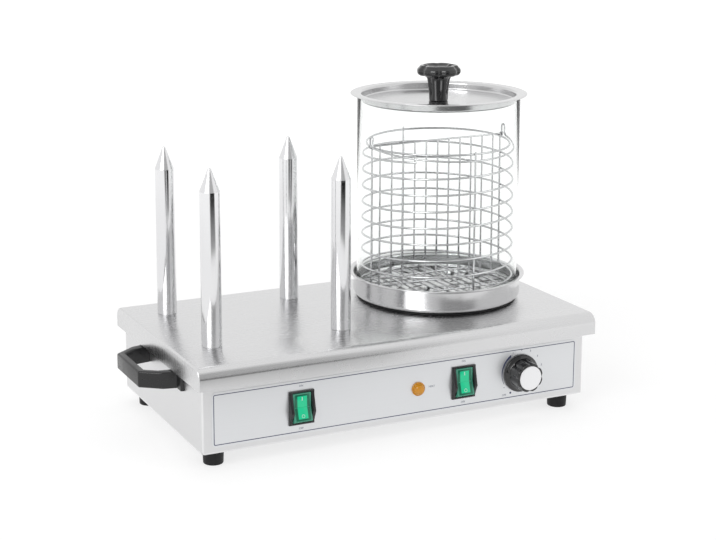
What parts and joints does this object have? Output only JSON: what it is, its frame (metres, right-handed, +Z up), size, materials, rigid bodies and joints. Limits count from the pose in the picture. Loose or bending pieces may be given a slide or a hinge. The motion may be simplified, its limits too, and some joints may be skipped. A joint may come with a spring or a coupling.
{
  "type": "hot dog toaster",
  "caption": "Countertop hot dog toaster: a steel box with upright heated spikes for the rolls and a lidded steaming glass with a wire basket, rocker switches and a thermostat.",
  "frame": {"origin": "on the table, under the middle of the object's outline, handles, knob and cable gland included", "axes": "+Z up, +X to the right along the control panel, +Y to the back"},
  "size_m": [0.582, 0.2976, 0.412],
  "materials": {
    "satin_steel": "satin, brushed along its length",
    "bright_steel": "nearly mirror bright",
    "spike_steel": "polished",
    "pan_steel": "polished",
    "lid_steel": "polished",
    "galvanised": "dull zinc",
    "heater_steel": "dull, heat-tinted",
    "foil": "satin silver printed foil",
    "black_rubber": "matt",
    "handle_plastic": "semi-matt",
    "switch_plastic": "semi-gloss",
    "rocker_green": "clear green, lit from inside",
    "amber_lens": "clear amber",
    "thermostat_body": "ivory moulding",
    "knob_plastic": "gloss",
    "cap_silver": "spun",
    "ceramic_white": "unglazed",
    "clear_glass": "clear, polished",
    "wire_chrome": "bright plated"
  },
  "bodies": {
    "housing": {"casing": "satin_steel", "base_plate": "galvanised", "top_cover": "bright_steel", "panel_foil": "foil", "spike_front_left": "spike_steel", "spike_front_right": "spike_steel", "spike_rear_left": "spike_steel", "spike_rear_right": "spike_steel", "spike_heaters": "heater_steel", "spike_nuts": "galvanised", "water_pan": "pan_steel", "pan_gasket": "black_rubber", "pan_heater": "heater_steel", "heater_clamp": "galvanised", "clamp_nut": "galvanised", "handle_left": "handle_plastic", "handle_right": "handle_plastic", "handle_screws": "galvanised", "feet": "black_rubber", "foot_screws": "galvanised", "switch_housing_left": "switch_plastic", "switch_housing_right": "switch_plastic", "lamp_body": "switch_plastic", "lamp_lens": "amber_lens", "thermostat": "thermostat_body", "cable_gland": "handle_plastic", "gland_nut": "handle_plastic", "terminal_block": "ceramic_white"},
    "rocker_left": {"rocker_left": "rocker_green"},
    "rocker_right": {"rocker_right": "rocker_green"},
    "dial": {"thermostat_knob": "knob_plastic", "knob_cap": "cap_silver", "thermostat_shaft": "galvanised"},
    "sieve": {"sieve_plate": "pan_steel", "sieve_ring": "pan_steel"},
    "glass": {"glass_cylinder": "clear_glass"},
    "basket": {"basket_spiral": "wire_chrome", "basket_frame": "wire_chrome", "basket_divider": "wire_chrome", "basket_base": "wire_chrome"},
    "bail": {"basket_bail": "wire_chrome"},
    "lid": {"lid": "lid_steel", "lid_knob": "knob_plastic", "lid_screw": "galvanised"}
  },
  "joints": [
    {"name": "rocker_left_tilt", "type": "hinge", "parent": "housing", "child": "rocker_left", "pos_m": [-0.129, -0.12355, 0.057], "axis": [1, 0, 0], "range_deg": [0, 20]},
    {"name": "rocker_right_tilt", "type": "hinge", "parent": "housing", "child": "rocker_right", "pos_m": [0.0806, -0.12355, 0.057], "axis": [1, 0, 0], "range_deg": [0, 20]},
    {"name": "dial_turn", "type": "hinge", "parent": "housing", "child": "dial", "pos_m": [0.1592, -0.12555, 0.057], "axis": [0, 1, 0], "range_deg": [-150, 100]},
    {"name": "sieve_lift", "type": "slide", "parent": "housing", "child": "sieve", "axis": [0, 0, 1], "range_m": [0, 0.05]},
    {"name": "glass_lift", "type": "slide", "parent": "sieve", "child": "glass", "axis": [0, 0, 1], "range_m": [0, 0.25]},
    {"name": "basket_lift", "type": "slide", "parent": "glass", "child": "basket", "axis": [0, 0, 1], "range_m": [0, 0.26]},
    {"name": "bail_swing", "type": "hinge", "parent": "basket", "child": "bail", "pos_m": [0.1265, 0.02335, 0.3172], "axis": [-1, 0, 0], "range_deg": [0, 35]},
    {"name": "lid_lift", "type": "slide", "parent": "basket", "child": "lid", "axis": [0, 0, 1], "range_m": [0, 0.1]}
  ]
}
